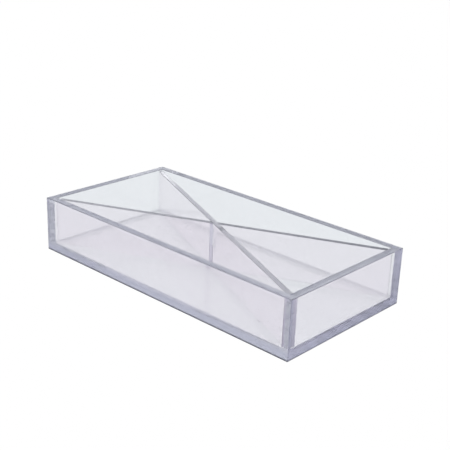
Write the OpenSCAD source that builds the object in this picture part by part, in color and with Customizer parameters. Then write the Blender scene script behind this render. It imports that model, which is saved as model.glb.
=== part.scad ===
// Clear acrylic drawer organizer insert.
// Five cemented sheets make an open tray. Two strips, halved together, cross it from corner to corner.
// The origin is the centre of the underside. X runs along the length, -Y is the front, Z is up.

/* [Tray] */
// Overall length, left to right
tray_l = 254; // [200:1:360]
// Overall depth, front to back
tray_d = 127; // [100:1:200]
// Overall height
tray_h = 44.45; // [30:0.05:80]
// Thickness of the base and wall sheets
sheet_t = 6.35; // [4:0.05:10]
// Width of the chamfer on the tray's outer edges
edge_break = 0.4; // [0.2:0.1:1.5]

/* [Dividers] */
// Thickness of the divider strips
divider_t = 4; // [2:0.1:6]
// How far the top edges of the strips sit below the rim
divider_drop = 1.2; // [0:0.1:5]

/* [Fits] */
// Gap between the end of a strip and the wall beside it
end_gap = 0.25; // [0.1:0.05:1]
// Gap around a strip in the other strip's slot
slot_gap = 0.1; // [0.05:0.05:0.5]

/* [Hidden] */
// Space between the walls
inner_l = tray_l - 2 * sheet_t;
inner_d = tray_d - 2 * sheet_t;
wall_h = tray_h - sheet_t;

// Rectangle that the corners of both strips reach, and its diagonal
fit_l = inner_l - 2 * end_gap;
fit_d = inner_d - 2 * end_gap;
fit_diagonal = sqrt(fit_l * fit_l + fit_d * fit_d);

strip_h = wall_h - divider_drop;
slot_w = divider_t + 2 * slot_gap;
// Half the strip's height, and a little more so that the two slots never bottom out
slot_h = strip_h / 2 + slot_gap;
// Long enough to cut right through a strip at the flattest crossing
slot_reach = 6 * divider_t;

// Angle from the X axis at which both corners of a square-cut end reach the two walls.
// Each pass starts from the last angle and corrects for the thickness of the strip.
fit_passes = 4;
function strip_angle(passes) =
    let (corner = atan2(fit_d, fit_l))
    passes == 0
        ? corner
        : corner - asin(divider_t * cos(2 * strip_angle(passes - 1)) / fit_diagonal);
divider_angle = strip_angle(fit_passes);
strip_l = (fit_l - divider_t * sin(divider_angle)) / cos(divider_angle);

acrylic = [0.87, 0.89, 0.93];
acrylic_alpha = 0.45;

// Outline of a rectangle centred on the origin, with its corners cut at 45 degrees
module chamfered_rectangle(w, h) {
    x = w / 2;
    y = h / 2;
    c = edge_break;
    polygon([
        [x - c, -y], [x, c - y], [x, y - c], [x - c, y],
        [c - x, y], [-x, y - c], [-x, c - y], [c - x, -y]
    ]);
}

// Solid block of the tray's outer size, with every outer edge chamfered
module tray_envelope() {
    intersection() {
        linear_extrude(height = tray_h)
            chamfered_rectangle(tray_l, tray_d);
        translate([0, tray_d / 2, tray_h / 2])
            rotate([90, 0, 0])
                linear_extrude(height = tray_d)
                    chamfered_rectangle(tray_l, tray_h);
        translate([-tray_l / 2, 0, tray_h / 2])
            rotate([90, 0, 90])
                linear_extrude(height = tray_l)
                    chamfered_rectangle(tray_d, tray_h);
    }
}

// One sheet of the tray: the part of the envelope inside a box given by its low corner and size
module sheet(low, size) {
    color(acrylic, acrylic_alpha)
        intersection() {
            tray_envelope();
            translate(low)
                cube(size);
        }
}

module base_panel() {
    sheet([-tray_l / 2, -tray_d / 2, 0], [tray_l, tray_d, sheet_t]);
}

// The front and back walls run the full length and stand on the base
module front_wall() {
    sheet([-tray_l / 2, -tray_d / 2, sheet_t], [tray_l, sheet_t, wall_h]);
}

module back_wall() {
    sheet([-tray_l / 2, inner_d / 2, sheet_t], [tray_l, sheet_t, wall_h]);
}

// The left and right walls fit between the front and back walls
module left_wall() {
    sheet([-tray_l / 2, -inner_d / 2, sheet_t], [sheet_t, inner_d, wall_h]);
}

module right_wall() {
    sheet([inner_l / 2, -inner_d / 2, sheet_t], [sheet_t, inner_d, wall_h]);
}

// Square-cut strip through the centre, turned by an angle, standing on the base
module strip(angle) {
    rotate([0, 0, angle])
        translate([-strip_l / 2, -divider_t / 2, sheet_t])
            cube([strip_l, divider_t, strip_h]);
}

// Space that a strip turned by an angle needs in the other strip, from a height upwards
module slot(angle, bottom) {
    rotate([0, 0, angle])
        translate([-slot_reach / 2, -slot_w / 2, bottom])
            cube([slot_reach, slot_w, slot_h]);
}

// Front left to back right, slotted from its top edge
module lower_divider() {
    color(acrylic, acrylic_alpha)
        difference() {
            strip(divider_angle);
            slot(-divider_angle, sheet_t + strip_h - slot_h);
        }
}

// Back left to front right, slotted from its bottom edge
module upper_divider() {
    color(acrylic, acrylic_alpha)
        difference() {
            strip(-divider_angle);
            slot(divider_angle, sheet_t);
        }
}

base_panel();
front_wall();
back_wall();
left_wall();
right_wall();
lower_divider();
upper_divider();
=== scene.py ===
"""Clear acrylic drawer organizer insert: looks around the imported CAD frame."""

import math

import bmesh
import bpy
from mathutils import Matrix, Vector


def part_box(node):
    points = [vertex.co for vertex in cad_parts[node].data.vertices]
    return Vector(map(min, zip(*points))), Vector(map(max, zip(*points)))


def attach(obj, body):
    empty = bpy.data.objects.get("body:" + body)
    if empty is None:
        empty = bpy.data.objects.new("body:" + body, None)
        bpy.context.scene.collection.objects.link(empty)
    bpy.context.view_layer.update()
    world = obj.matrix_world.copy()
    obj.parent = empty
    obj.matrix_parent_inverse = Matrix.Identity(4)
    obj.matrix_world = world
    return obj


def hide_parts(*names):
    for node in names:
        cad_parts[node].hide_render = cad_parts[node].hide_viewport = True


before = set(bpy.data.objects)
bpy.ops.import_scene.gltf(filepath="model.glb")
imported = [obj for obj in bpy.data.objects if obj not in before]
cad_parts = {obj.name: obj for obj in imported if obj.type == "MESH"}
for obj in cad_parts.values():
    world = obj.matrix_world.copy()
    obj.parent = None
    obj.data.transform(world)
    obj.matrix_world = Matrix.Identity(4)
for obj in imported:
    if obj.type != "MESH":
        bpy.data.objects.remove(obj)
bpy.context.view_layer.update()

# ---------------------------------------------------------------- sizes, in metres
MM = 0.001
EDGE_ROUND = 0.45 * MM      # rounding of the tray's outer edges
RIM_ROUND = 0.5 * MM        # rounding of the inner edge of the rim
STRIP_ROUND = 0.25 * MM     # rounding of the divider strips' edges
ROUND_STEPS = 4             # flat faces across each rounding
BOND_GAP = 0.02 * MM        # keeps two bonded faces from sharing one plane
STRIP_LIFT = 2 * BOND_GAP   # keeps the strips from sharing a plane with the base
CEMENT_LINE = 0.35 * MM     # width of the cement that shows inside the glued corners
SAME_PLACE = 0.01 * MM      # two points closer than this are one
ON_PLANE = SAME_PLACE / 10  # a corner closer than this to a cutting plane lies on it
SAME_WAY = 0.9999           # two normals whose dot product is above this are parallel
FACING = 0.5                # a face whose normal goes further than this along an axis faces it
FLAT_ANGLE = math.radians(1)  # faces that meet at less than this are one flat face

X_AXIS = Vector((1, 0, 0))
Y_AXIS = Vector((0, 1, 0))
Z_AXIS = Vector((0, 0, 1))

base_low, base_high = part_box("base_panel")
rim_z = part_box("front_wall")[1].z
inner_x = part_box("right_wall")[0].x
inner_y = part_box("back_wall")[0].y
floor_z = base_high.z

# ---------------------------------------------------------------- finish of the edges, and the painted shade on them
# how strongly a machined edge shows haze, relief and roughness: 1 is usual, 0 is polished clear
# these values also scale the painted shade on the rims, on the strips' tops and round the foot
USUAL_FINISH = 1.0
# the base's front face is hazier than the others, which darkens it as painted shade, and it carries a
# stronger painted shadow round its foot
BASE_FRONT_FINISH_AND_SHADE = 1.6
RIGHT_END_FINISH = 0.6
# the strips' values also scale the painted shade on their top edges; the upper divider's top edge is
# left paler
STRIP_FINISH_AND_SHADE = {"lower_divider": 1.0, "upper_divider": 0.5}
# how much painted shade each rim gets towards its inner side, from 0 to 1
RIM_PAINTED_SHADE = {"front_wall": 0.25, "back_wall": 0.6, "left_wall": 0.5, "right_wall": 0.5}

# ---------------------------------------------------------------- colours of the acrylic
SHEET_SLOT = "clear_acrylic_sheet"
STRIP_SLOT = "clear_acrylic_strip"
SHEET_HAZE = {"colour": (0.50, 0.485, 0.62, 1), "least": 0.22, "most": 0.34, "at_left_end": 1.0}
# the strips' near-black haze colour is painted shade on their top edges, thinned towards the left end
# as a painted highlight
STRIP_HAZE_AND_SHADE = {"colour": (0.15, 0.15, 0.185, 1), "least": 0.60, "most": 0.80, "at_left_end": 0.5}
SURFACE_TINT = (0.97, 0.94, 0.962, 1)
DEPTH_TINT = (0.47, 0.39, 0.70, 1)
DEPTH_DENSITY = 2.2         # how fast the depth tint builds up, per metre of acrylic
# near black: the colour of the painted shade on the rims
RIM_SHADE_COLOUR = (0.13, 0.13, 0.165, 1)
# near black: the painted shade lines on turned-away edges and round the foot
SHADE_LINE_COLOUR = (0.05, 0.05, 0.065, 1)
WHITE = (1, 1, 1, 1)
ACRYLIC_IOR = 1.49

# ---------------------------------------------------------------- detail of the acrylic
SAW_MARK_SCALE = 420.0      # scales are in noise cells per metre
SAW_WANDER_SCALE = 90.0
SAW_WANDER = 6 * MM         # how far the saw marks stray from even spacing
SAW_RELIEF = 2.0            # height of the saw marks against the orange peel
ORANGE_PEEL_SCALE = 180.0
SMUDGE_SCALE = 28.0
RELIEF_HEIGHT = 0.1 * MM
RELIEF_STRENGTH = 0.3
SMOOTHEST = 0.03
ROUGHEST = 0.10
NOISE_LOW = 0.3             # most of a noise texture's values lie between these two
NOISE_HIGH = 0.7
# how much the rims' painted shade adds to the haze cover
RIM_SHADE_ADDS_HAZE = 0.4
OUTSIDE_HAZE = 1.1          # an edge looks cloudier from outside the sheet than from within
INSIDE_HAZE = 0.7
# how dark the painted shade on turned-away edges and the painted shadow round the foot can get
DARKEST_EDGE_SHADE = 0.95
DARKEST_FOOT_SHADOW = 0.55
BEAD_COVER = 0.5            # how much of the light the bead of cement scatters
THINNEST_GLUE = 0.88        # light that passes the streaks in the glue


# ---------------------------------------------------------------- mesh helpers
def new_solid():
    """An empty mesh with the face values that the acrylic material reads."""
    bm = bmesh.new()
    for name in ("bond", "machined", "rim", "arris", "cement"):
        bm.faces.layers.float.new(name)
    bm.faces.layers.float_vector.new("grain")
    return bm


def outer_block():
    """The tray's outer size as one solid, with every outer edge rounded."""
    bm = new_solid()
    low = base_low
    high = Vector((base_high.x, base_high.y, rim_z))
    centre = (low + high) / 2
    bmesh.ops.create_cube(bm, size=1.0)
    for v in bm.verts:
        v.co = centre + Vector(a * b for a, b in zip(v.co, high - low))
    round_edges(bm, list(bm.edges), EDGE_ROUND)
    return bm


def round_edges(bm, edges, radius):
    """Rounds edges, and marks the faces that turn away from every face there was before."""
    bm.normal_update()
    flat = {f.normal.copy().freeze() for e in edges for f in e.link_faces}
    made = bmesh.ops.bevel(
        bm, geom=edges, offset=radius, offset_type="OFFSET", segments=ROUND_STEPS,
        profile=0.5, affect="EDGES", clamp_overlap=False,
    )
    bm.normal_update()
    arris = bm.faces.layers.float["arris"]
    for f in made["faces"]:
        if all(f.normal.dot(normal) < SAME_WAY for normal in flat):
            f[arris] = 1.0


def everything(bm):
    return list(bm.verts) + list(bm.edges) + list(bm.faces)


def cut(bm, point, normal):
    """Keeps the part behind the plane and closes the cut with one face."""
    made = bmesh.ops.bisect_plane(
        bm, geom=everything(bm), dist=ON_PLANE,
        plane_co=point, plane_no=normal, clear_outer=True,
    )
    outline = [e for e in made["geom_cut"] if isinstance(e, bmesh.types.BMEdge)]
    arris = bm.faces.layers.float["arris"]
    for cap in bmesh.ops.contextual_create(bm, geom=outline)["faces"]:
        cap[arris] = 0.0


def score_both_sides(bm, distance, axis):
    """Scores a line round the solid, this far from the middle on both sides, to part its faces."""
    for side in (-1, 1):
        bmesh.ops.bisect_plane(
            bm, geom=everything(bm), dist=ON_PLANE,
            plane_co=side * distance * axis, plane_no=axis,
        )


def near(a, b):
    return abs(a - b) < SAME_PLACE


def mark(bm, layer_name, test, value=1.0):
    """Sets a face layer to the value on each face whose centre and normal pass the test."""
    bm.normal_update()
    layer = bm.faces.layers.float[layer_name]
    for f in bm.faces:
        if test(f.calc_center_median(), f.normal):
            f[layer] = value


def set_grain(bm, along):
    """Stores the direction that the saw marks are spaced out along, as along(normal)."""
    bm.normal_update()
    layer = bm.faces.layers.float_vector["grain"]
    for f in bm.faces:
        f[layer] = along(f.normal)


def add_piece(bm, node, body, material):
    """Makes the mesh a piece that stands for the CAD node and moves with the body."""
    bmesh.ops.recalc_face_normals(bm, faces=bm.faces)
    name = "acrylic_" + node
    mesh = bpy.data.meshes.new(name)
    bm.to_mesh(mesh)
    bm.free()
    # normals carried over from the CAD mesh don't fit the rounded edges
    if "custom_normal" in mesh.attributes:
        mesh.attributes.remove(mesh.attributes["custom_normal"])
    for face in mesh.polygons:
        face.use_smooth = False
    mesh.materials.append(material)
    piece = bpy.data.objects.new(name, mesh)
    bpy.context.scene.collection.objects.link(piece)
    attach(piece, body)
    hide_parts(node)


# ---------------------------------------------------------------- tray
def inside_walls(c):
    return abs(c.x) < inner_x and abs(c.y) < inner_y


def by_a_wall(c):
    return abs(c.x) > inner_x - CEMENT_LINE or abs(c.y) > inner_y - CEMENT_LINE


def base_panel():
    """The floor sheet, scored where the walls and their beads of cement stand on it."""
    bm = outer_block()
    cut(bm, floor_z * Z_AXIS, Z_AXIS)
    for inner, axis in ((inner_x, X_AXIS), (inner_y, Y_AXIS)):
        score_both_sides(bm, inner, axis)
        score_both_sides(bm, inner - CEMENT_LINE, axis)
    mark(bm, "bond", lambda c, n: near(c.z, floor_z) and not inside_walls(c))
    mark(bm, "cement", lambda c, n: near(c.z, floor_z) and inside_walls(c) and by_a_wall(c))
    mark(bm, "machined", lambda c, n: abs(n.z) < FACING, USUAL_FINISH)
    mark(bm, "machined", lambda c, n: n.y < -FACING, BASE_FRONT_FINISH_AND_SHADE)
    set_grain(bm, lambda n: X_AXIS if abs(n.y) > abs(n.x) else Y_AXIS)
    return bm


def wall_above_base(*cuts):
    """The outer block above the base panel, cut down by planes given as (point, normal)."""
    bm = outer_block()
    cut(bm, (floor_z + BOND_GAP) * Z_AXIS, -Z_AXIS)
    for point, normal in cuts:
        cut(bm, point, normal)
    return bm


def rim_edges(bm, on_inner_face):
    """The edges where the rim meets a wall's inner face, leaving out the bonded ends."""
    return [
        e for e in bm.edges
        if all(near(v.co.z, rim_z) and on_inner_face(v.co) for v in e.verts)
    ]


def long_wall(node, side):
    """The front wall (side -1) or the back wall (side 1), which run the full length."""
    bm = wall_above_base((side * inner_y * Y_AXIS, -side * Y_AXIS))
    score_both_sides(bm, inner_x, X_AXIS)
    score_both_sides(bm, inner_x - CEMENT_LINE, X_AXIS)

    def on_inner_face(p):
        return near(p.y, side * inner_y) and abs(p.x) < inner_x + SAME_PLACE

    def glued(c, n):
        behind_short_wall = near(c.y, side * inner_y) and abs(c.x) > inner_x
        return n.z < -FACING or behind_short_wall

    def in_cement(c, n):
        return near(c.y, side * inner_y) and inner_x > abs(c.x) > inner_x - CEMENT_LINE

    round_edges(bm, rim_edges(bm, on_inner_face), RIM_ROUND)
    mark(bm, "bond", glued)
    mark(bm, "cement", in_cement)
    mark(bm, "machined", lambda c, n: n.z > FACING or n.x < -FACING, USUAL_FINISH)
    mark(bm, "machined", lambda c, n: n.x > FACING, RIGHT_END_FINISH)
    mark(bm, "rim", lambda c, n: n.z > FACING, RIM_PAINTED_SHADE[node])
    set_grain(bm, lambda n: Z_AXIS if abs(n.x) > FACING else X_AXIS)
    return bm


def short_wall(node, side):
    """The left wall (side -1) or the right wall (side 1), between the front and back walls."""
    end = (inner_y - BOND_GAP) * Y_AXIS
    bm = wall_above_base((side * inner_x * X_AXIS, -side * X_AXIS), (end, Y_AXIS), (-end, -Y_AXIS))
    round_edges(bm, rim_edges(bm, lambda p: near(p.x, side * inner_x)), RIM_ROUND)
    mark(bm, "bond", lambda c, n: n.z < -FACING or abs(n.y) > FACING)
    mark(bm, "machined", lambda c, n: n.z > FACING, USUAL_FINISH)
    mark(bm, "rim", lambda c, n: n.z > FACING, RIM_PAINTED_SHADE[node])
    set_grain(bm, lambda n: Z_AXIS if abs(n.y) > FACING else Y_AXIS)
    return bm


# ---------------------------------------------------------------- dividers
def divider(node):
    """The strip as the CAD cuts it, with its edges rounded, standing just clear of the base."""
    bm = new_solid()
    bm.from_mesh(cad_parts[node].data)
    bmesh.ops.remove_doubles(bm, verts=bm.verts, dist=SAME_PLACE)
    bmesh.ops.dissolve_limit(bm, angle_limit=FLAT_ANGLE, verts=bm.verts, edges=bm.edges)
    bmesh.ops.translate(bm, verts=bm.verts, vec=STRIP_LIFT * Z_AXIS)
    round_edges(bm, list(bm.edges), STRIP_ROUND)
    mark(bm, "machined", lambda c, n: n.z > FACING, STRIP_FINISH_AND_SHADE[node])
    set_grain(bm, lambda n: X_AXIS)
    return bm


# ---------------------------------------------------------------- node trees
class Nodes:
    """Short calls for building a node tree."""

    def __init__(self, tree):
        self.tree = tree
        tree.nodes.clear()

    def set(self, node, name, value):
        if isinstance(value, bpy.types.NodeSocket):
            self.tree.links.new(value, node.inputs[name])
        else:
            node.inputs[name].default_value = value

    def add(self, kind, output=0, **inputs):
        """Adds a node; inputs are given by name, with _ for a space, and may be sockets."""
        node = self.tree.nodes.new("ShaderNode" + kind)
        for name, value in inputs.items():
            self.set(node, name.replace("_", " "), value)
        return node.outputs[output]

    def add_in_order(self, kind, *values):
        """Adds a node whose inputs are given in their own order."""
        node = self.tree.nodes.new("ShaderNode" + kind)
        for index, value in enumerate(values):
            self.set(node, index, value)
        return node.outputs[0]

    def math(self, operation, a, b=0.0, c=0.0):
        node = self.tree.nodes.new("ShaderNodeMath")
        node.operation = operation
        for index, value in enumerate((a, b, c)):
            self.set(node, index, value)
        return node.outputs[0]

    def dot(self, a, b):
        node = self.tree.nodes.new("ShaderNodeVectorMath")
        node.operation = "DOT_PRODUCT"
        self.set(node, 0, a)
        self.set(node, 1, b)
        return node.outputs["Value"]

    def axis(self, place, name):
        """The X, Y or Z of a place."""
        return self.add("SeparateXYZ", name, Vector=place)

    def face_value(self, name, output="Fac"):
        node = self.tree.nodes.new("ShaderNodeAttribute")
        node.attribute_name = name
        return node.outputs[output]

    def noise(self, vector, scale, detail=2.0):
        return self.add("TexNoise", Vector=vector, Scale=scale, Detail=detail, Roughness=0.5)

    def spread(self, value, low, high, new_low, new_high):
        """Stretches low to high over new_low to new_high, and stops at both ends."""
        return self.add_in_order("MapRange", value, low, high, new_low, new_high)

    def mix(self, factor, first, second):
        return self.add_in_order("MixShader", factor, first, second)

    def output(self, surface):
        """Adds the output node, and returns it."""
        out = self.tree.nodes.new("ShaderNodeOutputMaterial")
        self.set(out, "Surface", surface)
        return out


# ---------------------------------------------------------------- acrylic
def saw_mark_pattern(n, place):
    """Lines across each edge, unevenly spaced along its length."""
    along = n.dot(place, n.face_value("grain", "Vector"))
    wander = n.math("MULTIPLY", n.noise(place, SAW_WANDER_SCALE), SAW_WANDER)
    across = n.add("CombineXYZ", X=n.math("ADD", along, wander))
    return n.noise(across, SAW_MARK_SCALE, detail=3.0)


def clear_surface(n, place, machined, saw_marks):
    """Clear acrylic, with relief and uneven polish only where it was machined."""
    orange_peel = n.noise(place, ORANGE_PEEL_SCALE)
    smudges = n.noise(place, SMUDGE_SCALE, detail=4.0)
    relief = n.math("MULTIPLY_ADD", saw_marks, SAW_RELIEF, orange_peel)
    relief = n.math("MULTIPLY", machined, relief)
    rough = n.spread(smudges, NOISE_LOW, NOISE_HIGH, SMOOTHEST, ROUGHEST)
    return n.add(
        "BsdfPrincipled", Base_Color=SURFACE_TINT, Transmission_Weight=1.0, IOR=ACRYLIC_IOR,
        Roughness=n.math("MULTIPLY", machined, rough),
        Normal=n.add("Bump", Strength=RELIEF_STRENGTH, Distance=RELIEF_HEIGHT, Height=relief),
    )


def depth_in_outline(n, place):
    """How far a point lies inside the tray's outline, seen from above."""
    from_x = n.math("SUBTRACT", base_high.x, n.math("ABSOLUTE", n.axis(place, "X")))
    from_y = n.math("SUBTRACT", base_high.y, n.math("ABSOLUTE", n.axis(place, "Y")))
    return n.math("MINIMUM", from_x, from_y)


def painted_rim_shade(n, place):
    """Painted shade along the outer side of every rim and, by each rim's own amount, towards the inner
    side.
    """
    rim = n.face_value("rim")
    depth = depth_in_outline(n, place)
    outer = n.spread(depth, 0.6 * MM, 2.6 * MM, 0.45, 0.0)
    inner = n.math("MULTIPLY", rim, n.spread(depth, 0.8 * MM, 2.2 * MM, 0.3, 1.0))
    on_rim = n.math("GREATER_THAN", rim, 0.01)
    return n.math("MULTIPLY", on_rim, n.math("MAXIMUM", outer, inner))


def with_haze_and_shade(n, surface, place, machined, saw_marks, haze_and_shade):
    """The cloudiness that sawing and buffing leave on the machined edges, with the painted shade of
    the rims and of the strips' tops mixed in.
    """
    grey = painted_rim_shade(n, place)
    colour = n.add("MixRGB", Fac=grey, Color1=haze_and_shade["colour"], Color2=RIM_SHADE_COLOUR)
    amount = n.spread(saw_marks, NOISE_LOW, NOISE_HIGH, haze_and_shade["least"], haze_and_shade["most"])
    amount = n.math("MULTIPLY_ADD", grey, RIM_SHADE_ADDS_HAZE, amount)
    # the cover thins towards the left end by at_left_end: on the strips, a painted highlight by the
    # back left corner
    left_end_highlight = n.spread(n.axis(place, "X"), -inner_x, inner_x, haze_and_shade["at_left_end"], 1.0)
    amount = n.math("MULTIPLY", amount, left_end_highlight)
    by_side = n.spread(n.add("NewGeometry", "Backfacing"), 0.0, 1.0, OUTSIDE_HAZE, INSIDE_HAZE)
    amount = n.math("MULTIPLY", amount, by_side)
    return n.mix(n.math("MULTIPLY", machined, amount), surface, n.add("BsdfDiffuse", Color=colour))


def with_painted_shade_lines(n, surface, place, machined):
    """Painted shade as dark lines on rounded edges that turn away, and a painted shadow round the
    foot, drawn for the camera only.
    """
    turned_away = n.spread(n.add("LayerWeight", "Facing"), 0.45, 0.85, 0.0, DARKEST_EDGE_SHADE)
    edge_shade = n.math("MULTIPLY", n.face_value("arris"), turned_away)
    near_foot = n.spread(n.axis(place, "Z"), 0.6 * MM, 1.9 * MM, DARKEST_FOOT_SHADOW, 0.0)
    foot_shadow = n.math("MULTIPLY", machined, near_foot)
    line = n.math("MAXIMUM", edge_shade, foot_shadow)
    seen_line = n.math("MULTIPLY", line, n.add("LightPath", "Is Camera Ray"))
    return n.mix(seen_line, surface, n.add("BsdfDiffuse", Color=SHADE_LINE_COLOUR))


def with_cement(n, surface, saw_marks):
    """A cloudy bead inside the glued corners, and glued faces that light goes straight through."""
    bead = n.add("BsdfTranslucent", Color=WHITE)
    surface = n.mix(n.math("MULTIPLY", n.face_value("cement"), BEAD_COVER), surface, bead)
    streak = n.spread(saw_marks, 0.35, 0.65, THINNEST_GLUE, 1.0)
    streaks = n.add("CombineColor", Red=streak, Green=streak, Blue=streak)
    return n.mix(n.face_value("bond"), surface, n.add("BsdfTransparent", Color=streaks))


def acrylic(name, haze_and_shade):
    """Clear cast acrylic: polished sheet, sawn and buffed edges, glued faces, and painted shade on the
    rims, edges and foot.
    """
    material = bpy.data.materials.new(name)
    material.use_nodes = True
    n = Nodes(material.node_tree)
    place = n.add("TexCoord", "Object")
    machined = n.face_value("machined")
    saw_marks = saw_mark_pattern(n, place)
    surface = clear_surface(n, place, machined, saw_marks)
    surface = with_haze_and_shade(n, surface, place, machined, saw_marks, haze_and_shade)
    surface = with_painted_shade_lines(n, surface, place, machined)
    surface = with_cement(n, surface, saw_marks)
    out = n.output(surface)
    n.set(out, "Volume", n.add("VolumeAbsorption", Color=DEPTH_TINT, Density=DEPTH_DENSITY))
    return material


# ---------------------------------------------------------------- pieces
sheet_acrylic = acrylic(SHEET_SLOT, SHEET_HAZE)
strip_acrylic = acrylic(STRIP_SLOT, STRIP_HAZE_AND_SHADE)

add_piece(base_panel(), "base_panel", "tray", sheet_acrylic)
for make_wall, node, side in (
    (long_wall, "front_wall", -1),
    (long_wall, "back_wall", 1),
    (short_wall, "left_wall", -1),
    (short_wall, "right_wall", 1),
):
    add_piece(make_wall(node, side), node, "tray", sheet_acrylic)
for node in ("lower_divider", "upper_divider"):
    add_piece(divider(node), node, node, strip_acrylic)


# ---------------------------------------------------------------- stage
STAGE_RADIUS = 1.6          # the flat part of the floor
STAGE_CURVE = 0.8           # radius of the curve from the floor up into the backdrop
STAGE_HEIGHT = 2.4
FLAT_RINGS = 4
CURVE_RINGS = 12
STAGE_SIDES = 96
FLOOR_DROP = 0.02 * MM      # keeps the floor from sharing a plane with the underside

PAPER = (0.40, 0.41, 0.415, 1)
PAPER_GLOW = (0.925, 1.0, 1.0, 1)
GLOW = 0.545                # light that the paper gives off by itself, as on a light table


def stage_profile():
    """Radius and height of each ring, from the middle of the floor to the backdrop's top."""
    rings = [(STAGE_RADIUS * k / FLAT_RINGS, 0.0) for k in range(1, FLAT_RINGS + 1)]
    for k in range(1, CURVE_RINGS + 1):
        angle = math.radians(90) * k / CURVE_RINGS
        radius = STAGE_RADIUS + STAGE_CURVE * math.sin(angle)
        rings.append((radius, STAGE_CURVE * (1 - math.cos(angle))))
    rings.append((STAGE_RADIUS + STAGE_CURVE, STAGE_HEIGHT))
    return rings


def ring_of_corners(bm, radius, height):
    angles = [math.tau * k / STAGE_SIDES for k in range(STAGE_SIDES)]
    return [bm.verts.new((radius * math.cos(a), radius * math.sin(a), height)) for a in angles]


def paper():
    """White paper that lights the acrylic by its own glow and by what falls on it."""
    material = bpy.data.materials.new("pale_floor")
    material.use_nodes = True
    n = Nodes(material.node_tree)
    glow = n.add("Emission", Color=PAPER_GLOW, Strength=GLOW)
    lit = n.add_in_order("AddShader", n.add("BsdfDiffuse", Color=PAPER), glow)
    # looked at directly, the paper is burnt out to plain white
    burnt_out = n.add("Emission", Strength=1.0)
    n.output(n.mix(n.add("LightPath", "Is Camera Ray"), lit, burnt_out))
    return material


def sweep():
    """Pale floor that curves up into a round backdrop on every side."""
    bm = bmesh.new()
    centre = bm.verts.new((0, 0, 0))
    rings = [ring_of_corners(bm, radius, height) for radius, height in stage_profile()]
    for k in range(STAGE_SIDES):
        after = (k + 1) % STAGE_SIDES
        bm.faces.new((centre, rings[0][k], rings[0][after]))
        for inner, outer in zip(rings, rings[1:]):
            bm.faces.new((inner[k], outer[k], outer[after], inner[after]))
    mesh = bpy.data.meshes.new("sweep")
    bm.to_mesh(mesh)
    bm.free()
    for face in mesh.polygons:
        face.use_smooth = True
    mesh.materials.append(paper())
    floor = bpy.data.objects.new("sweep", mesh)
    floor.location.z = -FLOOR_DROP
    bpy.context.scene.collection.objects.link(floor)


def soft_light(name, location, size, watts, seen_through_acrylic=True):
    """A rectangular light that points at the tray and that the camera doesn't see directly."""
    data = bpy.data.lights.new(name, "AREA")
    data.shape = "RECTANGLE"
    data.size, data.size_y = size
    data.energy = watts
    light = bpy.data.objects.new(name, data)
    light.location = location
    light.rotation_mode = "QUATERNION"
    light.rotation_quaternion = Vector(location).to_track_quat("Z", "Y")
    light.visible_camera = False
    light.visible_transmission = seen_through_acrylic
    bpy.context.scene.collection.objects.link(light)


def studio_world(strength):
    world = bpy.data.worlds.new("studio")
    bpy.context.scene.world = world
    world.use_nodes = True
    background = world.node_tree.nodes["Background"]
    background.inputs["Color"].default_value = WHITE
    background.inputs["Strength"].default_value = strength


sweep()
soft_light("overhead_softbox", (-0.2, 0.3, 1.6), (1.6, 1.6), 9.5)
# shows as a pale glint at the back left corner
soft_light(
    "corner_highlight", (-1.257, 1.09, 0.541), (0.12, 0.08), 0.055, seen_through_acrylic=False
)
studio_world(0.35)

# ---------------------------------------------------------------- camera
AZIMUTH = math.radians(42.5)
ELEVATION = math.radians(21.2)
ROLL = math.radians(2.2)
DISTANCE = 0.7094           # from the camera to the point it looks at
AIM_RIGHT = 7.3 * MM        # how far that point lies to the right of the origin, in the view
AIM_UP = 39.0 * MM          # and above it
LENS = 72.8                 # focal length in millimetres, as Blender takes it
NEAREST_SEEN = 0.01


def add_camera():
    """Looks down across the tray from over its front right corner, slightly rolled."""
    back = Vector((
        math.sin(AZIMUTH) * math.cos(ELEVATION),
        -math.cos(AZIMUTH) * math.cos(ELEVATION),
        math.sin(ELEVATION),
    ))
    right = Vector((math.cos(AZIMUTH), math.sin(AZIMUTH), 0))
    up = back.cross(right)
    rolled_right = right * math.cos(ROLL) + up * math.sin(ROLL)
    rolled_up = up * math.cos(ROLL) - right * math.sin(ROLL)
    rotation = Matrix((rolled_right, rolled_up, back)).transposed().to_4x4()
    place = right * AIM_RIGHT + up * AIM_UP + back * DISTANCE
    data = bpy.data.cameras.new("camera")
    data.lens = LENS
    data.clip_start = NEAREST_SEEN
    camera = bpy.data.objects.new("camera", data)
    camera.matrix_world = Matrix.Translation(place) @ rotation
    bpy.context.scene.collection.objects.link(camera)
    bpy.context.scene.camera = camera


def set_light_paths():
    """Lets light pass through every sheet and turn inside it, and keeps fine lines when denoised."""
    many_bounces = 40
    paths = bpy.context.scene.cycles
    paths.max_bounces = many_bounces
    paths.glossy_bounces = many_bounces
    paths.transmission_bounces = many_bounces
    paths.transparent_max_bounces = many_bounces
    paths.diffuse_bounces = 4
    paths.blur_glossy = 0.0
    # the denoiser's other guides keep a grain on the machined edges
    paths.denoising_input_passes = "RGB"


add_camera()
set_light_paths()
bpy.context.scene.view_settings.view_transform = "Standard"
